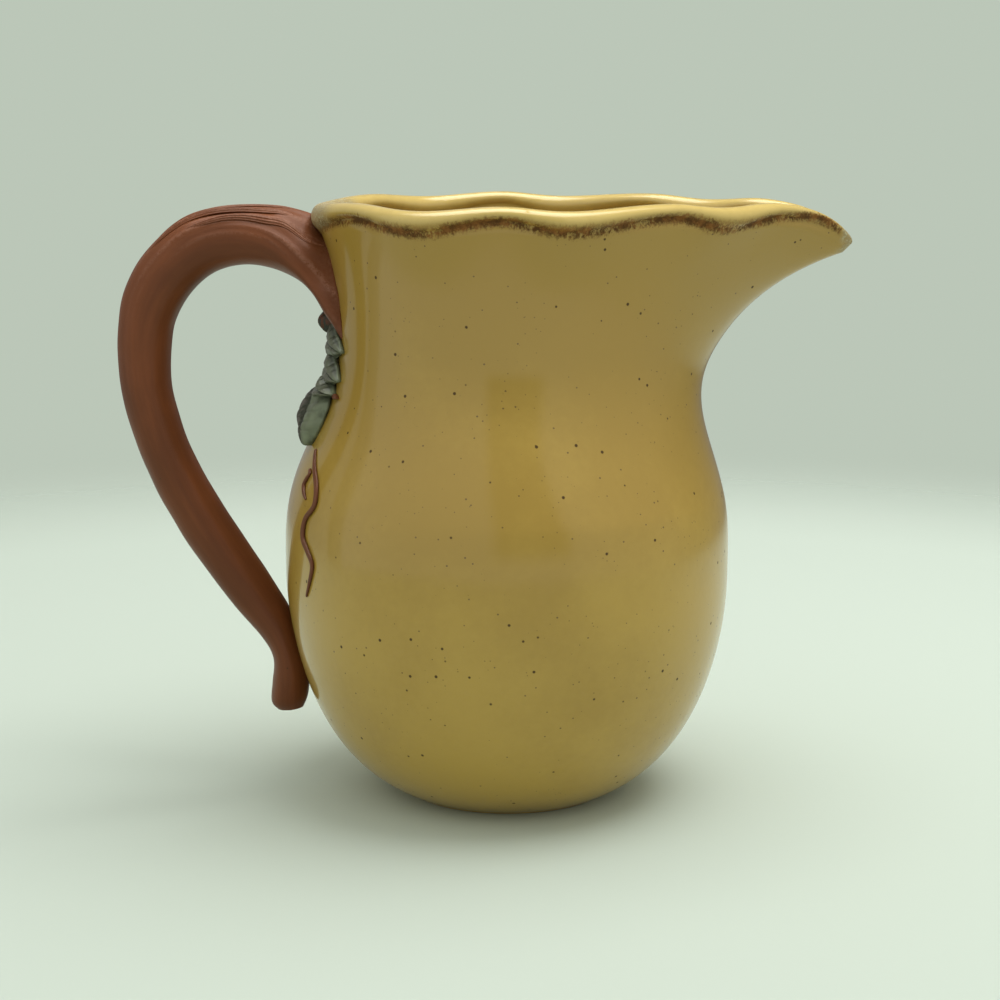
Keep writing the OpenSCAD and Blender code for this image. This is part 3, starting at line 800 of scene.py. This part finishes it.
class PITCHER_OT_shell(bpy.types.Operator):
    """Makes the glazed shell with its foot, spout and fluted lip"""
    bl_idname = "pitcher.shell"
    bl_label = "Shell"

    def foot(self, clay, angles):
        """Rings from the recess out to the belly, and how bare each is."""
        s = clay.s
        f = s.foot_round
        recess = s.foot_recess_d
        inner, outer, belly = s.foot_r - s.foot_ring_w, s.foot_r - f, clay.round_wall(f)
        turns = [(math.sin(a), math.cos(a)) for a in np.linspace(0, math.pi / 2, 6)]
        profile = [(inner * part, recess, 0) for part in (0.2, 0.4, 0.6, 0.8, 0.92)]
        profile += [(inner - f * (1 - sin), recess - f * (1 - cos), 0) for sin, cos in turns]
        profile += [(inner + f * (1 - cos), f * (1 - sin), sin) for sin, cos in turns]
        profile += [(mix(inner + f, outer, part), 0, 1) for part in (0.2, 0.4, 0.6, 0.8, 1)]
        profile += [(mix(outer, belly, sin), f * (1 - cos), cos) for sin, cos in turns[1:]]
        around = np.stack([np.cos(angles), np.sin(angles), np.zeros_like(angles)], -1)
        rings = [around * r + (0, 0, z) for r, z, _ in profile]
        return rings, [bare for _, _, bare in profile]

    def glazes(self, s, away, rings, rise):
        """Where each glaze and the painted highlight on the lip lie, by the way from the spout and
        the height over the crease.
        """
        x, z = rings[..., 0], rings[..., 2]
        lowest = s.rim_z - s.tip_droop - 0.004
        on_lip = smooth((rise + 0.0006) / 0.0014) * smooth((z - lowest) / 0.002)
        over_handle = smooth((away - math.pi + LOBE_REACH) / LOBE_FADE)
        at_tip = smooth((x - x.max() + TIP_REACH) / TIP_FADE)
        inside = smooth((z - s.rim_z + CREAM_DEPTH) / CREAM_DEPTH)
        return {
            "lip_rise": rise - BAND_LIFT * smooth((LIFT_END - away) / LIFT_FADE),
            "band": smooth((away - BAND_START) / BAND_FADE)[None, :],
            "pale": np.maximum(on_lip * over_handle, at_tip),
            # Where the painted highlight and the thin glaze on the lip lie.
            "crest": smooth((rise - CREAM_START) / CREAM_FADE) * inside,
        }

    def execute(self, context):
        clay = Clay(context.scene)
        s = clay.s
        part = np.arange(s.columns) / s.columns * 2 * math.pi
        angles = part - COLUMN_CROWDING * np.sin(part)
        rings, bare = self.foot(clay, angles)
        rise = [np.full(s.columns, -s.rim_z)] * len(rings)
        up = np.linspace(0, 1, s.rings)[1:] ** RING_CROWDING
        for z in (s.foot_round + (s.rim_z - s.foot_round) * up)[:-1]:
            level = clay.ring_z(z, angles)
            rings.append(clay.outer_point(angles, level))
            rise.append(level - clay.crease_z(angles))
        first_turn = LIP_OUT + TIP_FILL * towards(1, angles, TIP_FOCUS)
        for turn in np.linspace(first_turn, np.full(s.columns, LIP_IN), LIP_RINGS):
            rings.append(clay.lip_point(angles, turn))
            over = s.lip_h / 2 * (1 + np.sin(turn))
            rise.append(np.where(turn < math.pi / 2, over, s.rim_z))
        for z in np.linspace(s.rim_z, 0, s.rings * 2 // 3)[1:]:
            rings.append(clay.inner_point(angles, clay.ring_z(z, angles)))
        edge = rings[-1]
        for k in range(1, FLOOR_RINGS):
            out = 1 - k / FLOOR_RINGS
            ring = edge * out
            ring[:, 2] = mix(s.floor_t, edge[:, 2], out ** 2)
            rings.append(ring)
        rise += [np.full(s.columns, s.rim_z)] * (len(rings) - len(rise))
        bare += [0] * (len(rings) - len(bare))
        rings = np.array(rings)
        out = rings * (1, 1, 0)
        out /= np.maximum(np.linalg.norm(out, axis=-1, keepdims=True), s.foot_round)
        calm = smooth(rings[..., 2:] / s.belly_z * 2)
        rings += out * calm * s.ripple * ripple(rings, seed=3, size=0.05)[..., None]
        piece = skin(
            "pitcher_shell", rings, (0, 0, s.foot_recess_d), (0, 0, s.floor_t),
            bare=np.array(bare)[:, None],
            **self.glazes(s, from_spout(angles), rings, np.array(rise)),
        )
        dress(piece, "body", mustard_glaze(context.scene.pitcher_glaze))
        return {"FINISHED"}


class PITCHER_OT_handle(bpy.types.Operator):
    """Makes the loop handle with its spread root and free lower end"""
    bl_idname = "pitcher.handle"
    bl_label = "Handle"

    def execute(self, context):
        clay = Clay(context.scene)
        last = len(GRIP) - 1
        t, turn = np.broadcast_arrays(
            np.linspace(0, last, last * GRIP_STEPS + 1)[:, None],
            np.linspace(0, 2 * math.pi, GRIP_SIDES, endpoint=False)[None, :],
        )
        grip = clay.grip_point(t, turn)
        middle = grip.mean(axis=1, keepdims=True)
        top = smooth((np.cos(turn) + 0.1) / 0.7) * smooth((9 - t) / 5)
        groove = sum(np.sin(many * turn + drift * t + phase) for many, drift, phase in BARK_WAVES)
        rough = top * groove / len(BARK_WAVES) + 0.35 * ripple(grip, seed=5, size=0.02)
        lift = clay.h.bark * rough * (smooth(t / 1.5) * smooth((last - t) / 2))
        grip = grip + unit(grip - middle) * lift[..., None]
        steps = np.linalg.norm(np.diff(middle[:, 0], axis=0, prepend=middle[:1, 0]), axis=-1)
        root = grip[0]
        root_middle = clay.on_seat(root.mean(axis=0), 1)
        pad = [clay.on_seat(mix(root_middle, root, part), 1) for part in (0.25, 0.5, 0.75)]
        tip = np.array([clay.grip_x(GRIP_TIP[0]), 0.0, clay.grip_z(GRIP_TIP[1])])
        layers = {
            "run": np.broadcast_to(np.cumsum(steps)[:, None], t.shape) * 0.2,
            "across": np.cos(turn) * clay.h.width,
            # A painted highlight, partly wear, on the ridges of the grip's top, and paler worn
            # glaze near the root.
            "worn_and_highlight": np.clip(groove / 2, 0, 1) * top + 0.25 * smooth((1.2 - t) / 1.2),
        }
        piece = skin(
            "pitcher_handle", np.concatenate([pad, grip]), root_middle, clay.on_seat(tip, 0),
            **{name: np.pad(values, ((len(pad), 0), (0, 0))) for name, values in layers.items()},
        )
        colours = context.scene.pitcher_glaze
        dress(piece, "handle", brown_glaze(colours, "brown_glaze", 0.5))
        return {"FINISHED"}


class PITCHER_OT_strands(bpy.types.Operator):
    """Makes the raised vine strands along the top of the handle"""
    bl_idname = "pitcher.strands"
    bl_label = "Strands"

    def strand(self, clay, row):
        """Rings of one strand, with two low ridges along it, and the layers of its glaze."""
        start_turn, end_turn, spread, start_t, end_t = row
        along = np.linspace(0, 1, 120)[:, None]
        swell = np.sin(math.pi * mix(0.008, 1, 1 - along ** 1.6))
        fade = swell ** 0.6 * mix(1, 0.6, along)
        half = spread * np.maximum(fade, 0.08)
        centre_turn = mix(start_turn, end_turn, along) + 1.2 * np.sin(17 * along + start_turn)
        across, is_foot = section(25, 3, 0.6)
        ridges = 1 - 0.45 * np.cos(1.5 * math.pi * across) ** 2
        profile = np.where(is_foot, -0.35, 0.12 + 0.88 * arch(across) * ridges)
        turn = np.radians(centre_turn + half * across)
        t = np.broadcast_to(mix(start_t, end_t, along), turn.shape)
        on_grip = clay.grip_point(t, turn)
        outer, inner = (clay.grip_point(t, np.full_like(turn, edge)) for edge in (0, math.pi))
        out = unit(on_grip - (outer + inner) / 2)
        height = clay.h.strand_h * np.maximum(fade ** 1.4, 0.04) * profile
        # The crown's layer is a painted highlight, partly wear.
        return clay.on_seat(on_grip + out * height[..., None], 0), {
            "worn_and_highlight": np.clip(profile, 0, 1) ** 3 * mix(1, 0.5, along),
            "run": along * 0.03,
            "across": across * 0.004,
        }

    def execute(self, context):
        clay = Clay(context.scene)
        material = brown_glaze(context.scene.pitcher_glaze, "vine_brown_glaze", 0.9)
        for nodes, row in STRANDS.items():
            rings, layers = self.strand(clay, row)
            dress_each(nodes, rings, material, layers)
        return {"FINISHED"}


class PITCHER_OT_leaves(bpy.types.Operator):
    """Makes the applied leaves, buds and stem ends on both sides"""
    bl_idname = "pitcher.leaves"
    bl_label = "Leaves"

    def sprig(self, clay, row, lobed, folded, seed):
        """Rings and tips of one leaf with its veins, and the layers of its glaze."""
        v = clay.v
        arc, drop, long, width = (share * v.leaf_len for share in row[:4])
        heading, lift = math.radians(row[4]), row[5] * v.leaf_lift
        sin, cos = math.sin(heading), math.cos(heading)
        top = clay.vine_z - drop
        u = np.linspace(0.012, 0.988, 72)[:, None]
        across, is_foot = section(41, 7, 0.8)
        plain = np.sin(math.pi * u ** 0.8) ** 0.7
        outline = np.interp(u + 0.025 * np.sign(across), LOBED[:, 0], LOBED[:, 1])
        wide = width / 2 * mix(plain, outline, lobed * mix(1, 0.25, folded))
        dome = np.sin(math.pi * u ** mix(1, 0.55, folded)) ** mix(0.6, 0.40, folded)
        shape = np.interp(across, LEAF_SECTION[:, 0], LEAF_SECTION[:, 1])
        # Midrib and side veins, pressed in
        edge = np.abs(across)
        midrib = np.exp(-(across / mix(0.05, 0.09, u)) ** 2)
        veins = sum(
            np.exp(-((u - start - VEIN_SLANT * edge + VEIN_BOW * edge ** 2) / VEIN_W) ** 2)
            for start in SIDE_VEINS
        )
        veins = np.clip(veins, 0, 1) * (edge < 0.93) * lobed
        press = v.vein_d * (0.9 * veins + 1.1 * midrib * lobed)
        # Curled edges, and the flap of the folded leaf
        curl = 0.22 * np.sin(2 * math.pi * (3.2 * u + 0.3 * seed)) * edge ** 2 * (1 - edge ** 6)
        sway = 0.12 * np.sin(across * 3.1 + seed) * np.sin(math.pi * u * 2 + seed) + curl * lobed
        flap = folded * smooth((-across - mix(-0.14, 0.26, u)) / 0.26)
        sway = sway - 0.20 * flap
        swollen = np.maximum(0, lift - v.leaf_edge_t) * dome * (shape * (1 + sway))
        up = np.where(is_foot, -v.sink, v.leaf_edge_t + swollen - press) + v.slip_t
        along = long * u
        side = wide * across
        rings = clay.on_wall(arc + along * sin - side * cos, top - along * cos - side * sin, up)
        tips = [
            clay.on_wall(arc + d * sin, top - d * cos, v.leaf_edge_t / 2 + v.slip_t)
            for d in (0.0, long)
        ]
        rim = smooth((edge - 0.80) / 0.15) * (1 - flap)
        tip = 0.6 * smooth((u - 0.80) / 0.18) + 0.6 * rim + 0.8 * flap
        # Painted shade, partly pooled glaze, in the veins, at the edges and on the folded leaf's
        # turned side; a painted highlight, partly wear, on the ridges.
        return rings, tips, {
            "fold_shade": np.clip(1.1 - shape + veins * 0.3 + midrib * 0.5 + (folded - flap) * 0.6, 0, 1),
            "worn_and_highlight": np.clip(shape ** 4 - veins * 0.5 - midrib - flap, 0, 1) * dome,
            "tip": np.clip(tip, 0, 1) * lobed,
            "bark": np.full((1, 1), 1 - lobed),
        }

    def execute(self, context):
        clay = Clay(context.scene)
        colours = context.scene.pitcher_glaze
        leaf, vine = leaf_glaze(colours), vine_glaze(colours)
        for seed, (node, row) in enumerate((LEAVES | BUDS | STEMS).items()):
            lobed, folded = float(node in LEAVES), float(node == FOLDED_LEAF)
            rings, tips, layers = self.sprig(clay, row, lobed, folded, seed)
            slot, material = ("tendril_glaze", vine) if node in STEMS else ("leaf_glaze", leaf)
            dress_each(both_sides(node), rings, material, layers, tips)
        return {"FINISHED"}


class PITCHER_OT_tendrils(bpy.types.Operator):
    """Makes the wavy tendrils and the short curls on both sides"""
    bl_idname = "pitcher.tendrils"
    bl_label = "Tendrils"

    def ridge(self, clay, route, widest):
        """Rings of one tendril along its route, and how worn they are."""
        v = clay.v
        last = len(route) - 1
        t = np.linspace(0, last, last * 14 + 1)
        here = through(route, t) * v.leaf_len
        way = unit(np.gradient(here, axis=0))
        fade = np.maximum(np.sqrt(np.sin(math.pi * mix(0.08, 0.97, t / last))), 0.3)[:, None]
        half = v.tendril_w * widest * fade / 2
        across, is_foot = section(13, 3, 0.5)
        profile = np.where(is_foot, 0, 0.1 + 0.9 * arch(across))
        rings = clay.on_wall(
            here[:, :1] - half * across * way[:, 1:],
            clay.vine_z - here[:, 1:] - half * across * way[:, :1],
            np.where(is_foot, -v.sink, v.tendril_h * fade * profile) + v.slip_t,
        )
        # The crown's layer is a painted highlight, partly wear.
        return rings, {"worn_and_highlight": profile ** 2}

    def execute(self, context):
        clay = Clay(context.scene)
        material = vine_glaze(context.scene.pitcher_glaze)
        for node, route in TENDRILS.items():
            rings, layers = self.ridge(clay, route, CURL_W if "curl" in node else 1)
            dress_each(both_sides(node), rings, material, layers)
        return {"FINISHED"}


class PITCHER_OT_stage(bpy.types.Operator):
    """Makes the camera, the pale paper floor and the soft light of a white tent"""
    bl_idname = "pitcher.stage"
    bl_label = "Stage"

    def camera(self, scene, settings):
        camera = add_object("camera", bpy.data.cameras.new("camera"))
        camera.location = settings.eye
        camera.rotation_euler = (math.pi / 2 - settings.pitch, 0, 0)
        camera.data.lens = settings.focal
        camera.data.sensor_width = 36
        camera.data.clip_start = 0.01
        scene.camera = camera

    def floor(self, scene, settings):
        """Round paper that fades into the backdrop, the same from every side."""
        rim = settings.paper_r + settings.paper_fade
        turns = np.arange(PAPER_SIDES) / PAPER_SIDES * 2 * math.pi
        edge = [(rim * math.cos(a), rim * math.sin(a), 0) for a in turns]
        mesh = bpy.data.meshes.new("paper")
        mesh.from_pydata(edge, [], [tuple(range(PAPER_SIDES))])
        g = Glaze("paper")
        matt = {"Base Color": (*settings.paper, 1), "Roughness": 0.9, "Specular IOR Level": 0.1}
        g.feed(g.shader, matt)
        out = (g.axis(g.spot, "X") ** 2 + g.axis(g.spot, "Y") ** 2) ** 0.5
        fade = g.step(out, settings.paper_r, rim)
        solid, clear = Value(g, g.shader.outputs[0]), g.add("ShaderNodeBsdfTransparent", {}, {})
        faded = g.add("ShaderNodeMixShader", {}, {0: fade, 1: solid, 2: clear})
        g.feed(g.tree.nodes["Material Output"], {"Surface": faded})
        mesh.materials.append(g.material)
        piece = add_object("paper", mesh)

    def lamp(self, scene, settings):
        """The opening in the tent's roof."""
        lamp = bpy.data.lights.new("roof_lamp", "AREA")
        lamp.shape = "DISK"
        lamp.size = settings.lamp_size
        lamp.energy = settings.lamp_power
        holder = add_object("roof_lamp", lamp)
        holder.location = settings.lamp
        holder.rotation_euler = Vector(settings.lamp).to_track_quat("Z", "Y").to_euler()
        holder.visible_glossy = False

    def tent(self, scene, settings):
        """Soft light all round; its door, a seam, the back and the right show darker in glaze."""
        world = bpy.data.worlds.new("tent")
        scene.world = world
        world.use_nodes = True
        g = Recipe(world.node_tree)
        way = g.add("ShaderNodeTexCoord", {}, {}, "Generated")
        x, y, rise = (g.axis(way, name) for name in "XYZ")
        turn = x.math("ARCTAN2", x, 0 - y)
        door = g.step(turn, -0.21, -0.02) * g.step(turn, 0.65, 0.46) * g.step(rise, -0.10, 0.10)
        seam = g.step(turn, -1.86, -1.80) * g.step(turn, -1.60, -1.66)
        back = g.step(y, -0.15, 0.55) * (g.step(x, 0.15, -0.15) * 0.20 + 0.46)
        right = g.step(turn, 0.6, 1.8)
        roof = g.step(rise, 0.80, 0.94) * settings.gleam
        shown = 1 - door * 0.60 - seam * 0.40 - back - right * 0.34 + roof
        soft = g.step(rise, 0.05, 0.9) * (settings.top - settings.sides) + settings.sides
        mirror = g.add("ShaderNodeLightPath", {}, {}, "Is Glossy Ray")
        level = mirror * shown + (1 - mirror) * soft
        tint, seen = (*settings.tent, 1), (*settings.backdrop, 1)
        light = g.add("ShaderNodeBackground", {}, {"Color": tint, "Strength": level})
        backdrop = g.add("ShaderNodeBackground", {}, {"Color": seen})
        camera = g.add("ShaderNodeLightPath", {}, {}, "Is Camera Ray")
        whole = g.add("ShaderNodeMixShader", {}, {0: camera, 1: light, 2: backdrop})
        g.feed(world.node_tree.nodes["World Output"], {"Surface": whole})

    def execute(self, context):
        for make in (self.camera, self.floor, self.lamp, self.tent):
            make(context.scene, context.scene.pitcher_stage)
        context.scene.view_settings.view_transform = "Standard"
        return {"FINISHED"}


class PITCHER_PT_panel(bpy.types.Panel):
    """Lists the pieces of the pitcher"""
    bl_idname = "PITCHER_PT_panel"
    bl_label = "Pitcher"
    bl_space_type = "VIEW_3D"
    bl_region_type = "UI"
    bl_category = "Pitcher"

    def draw(self, context):
        for operator in PIECES:
            self.layout.operator(operator.bl_idname)


PIECES = (
    PITCHER_OT_stage, PITCHER_OT_shell, PITCHER_OT_handle, PITCHER_OT_strands,
    PITCHER_OT_leaves, PITCHER_OT_tendrils,
)
SETTINGS = {
    "pitcher_shell": ShellSizes,
    "pitcher_handle": HandleSizes,
    "pitcher_vine": VineSizes,
    "pitcher_glaze": GlazeColours,
    "pitcher_stage": StageSettings,
}
CLASSES = (*SETTINGS.values(), *PIECES, PITCHER_PT_panel)


def register():
    for cls in CLASSES:
        bpy.utils.register_class(cls)
    for name, cls in SETTINGS.items():
        setattr(bpy.types.Scene, name, PointerProperty(type=cls))


def unregister():
    for name in SETTINGS:
        delattr(bpy.types.Scene, name)
    for cls in reversed(CLASSES):
        bpy.utils.unregister_class(cls)


def main():
    register()
    bpy.ops.pitcher.stage()
    bpy.ops.pitcher.shell()
    bpy.ops.pitcher.handle()
    bpy.ops.pitcher.strands()
    bpy.ops.pitcher.leaves()
    bpy.ops.pitcher.tendrils()


if __name__ == "__main__":
    main()
